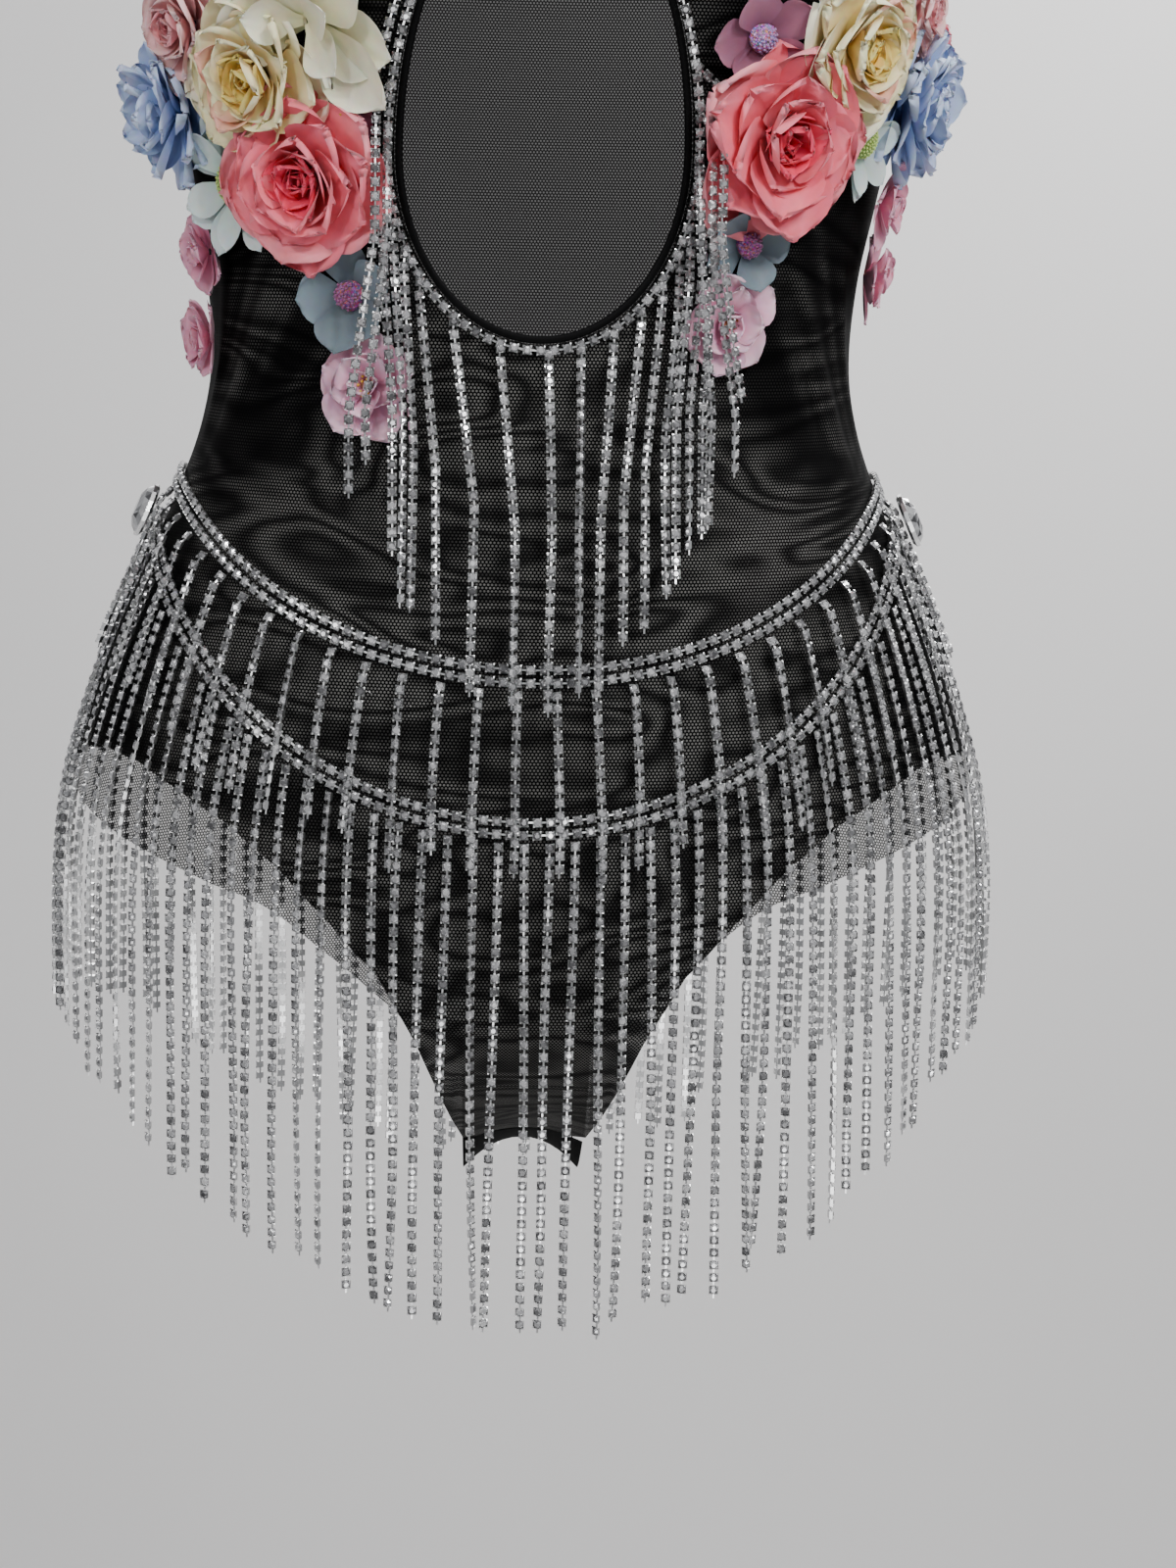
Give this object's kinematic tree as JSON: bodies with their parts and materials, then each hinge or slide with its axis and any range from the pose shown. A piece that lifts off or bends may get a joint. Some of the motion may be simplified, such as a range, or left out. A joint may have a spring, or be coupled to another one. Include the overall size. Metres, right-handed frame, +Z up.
{
  "type": "bodysuit with rhinestone chain fringe and silk flowers",
  "caption": "Sleeveless high-cut stage bodysuit in black power mesh with a front keyhole, hanging cup-chain fringes, hip crystals and silk flowers on the bust.",
  "frame": {"origin": "midway between the inner tops of the two shoulder straps, in the plane of the side seams, where the wearer's shoulders carry the garment", "axes": "+Z up along the body, front towards -Y, +X to the right seen from the front"},
  "size_m": [0.361, 0.2388, 0.7056],
  "materials": {
    "power_mesh": "sheer stretch power mesh with pin holes",
    "lining_knit": "opaque matte knit",
    "binding": "folded elastic binding, slight sheen",
    "cup_chain": "silver cups with clear faceted stones",
    "crystal": "clear faceted pear stone in a silver setting",
    "silk_blush": "printed silk petals",
    "silk_blue": "printed silk petals",
    "silk_cream": "printed silk petals",
    "silk_ivory": "smooth printed petals",
    "silk_daisy": "white petals round a green dotted button",
    "silk_coral": "printed silk petals",
    "silk_wine": "printed silk petals",
    "silk_grey": "petals round a glitter centre",
    "silk_pink": "printed silk petals",
    "silk_mauve": "petals round a glitter centre"
  },
  "bodies": {
    "root": {"front_body": "power_mesh", "back_body": "power_mesh", "crotch_gusset": "lining_knit", "front_lining": "lining_knit", "keyhole_binding": "binding", "neck_binding": "binding", "armhole_binding_l": "binding", "armhole_binding_r": "binding", "keyhole_fringe": "cup_chain", "hip_fringe_upper": "cup_chain", "hip_fringe_lower": "cup_chain", "hip_crystal_l": "crystal", "hip_crystal_r": "crystal", "left_blush_rose": "silk_blush", "left_blue_hydrangea": "silk_blue", "left_cream_rose": "silk_cream", "left_ivory_magnolia": "silk_ivory", "left_daisy": "silk_daisy", "left_coral_rose": "silk_coral", "left_wine_blossom": "silk_wine", "left_grey_blossom": "silk_grey", "left_pink_blossom": "silk_pink", "left_side_blossom_high": "silk_pink", "left_side_blossom_low": "silk_pink", "right_mauve_blossom": "silk_mauve", "right_coral_rose": "silk_coral", "right_cream_rose": "silk_cream", "right_blush_rose": "silk_blush", "right_coral_carnation": "silk_coral", "right_blue_hydrangea": "silk_blue", "right_daisy": "silk_daisy", "right_grey_blossom": "silk_grey", "right_pink_blossom": "silk_pink", "right_side_blossom_high": "silk_pink", "right_side_blossom_low": "silk_pink"}
  },
  "joints": []
}
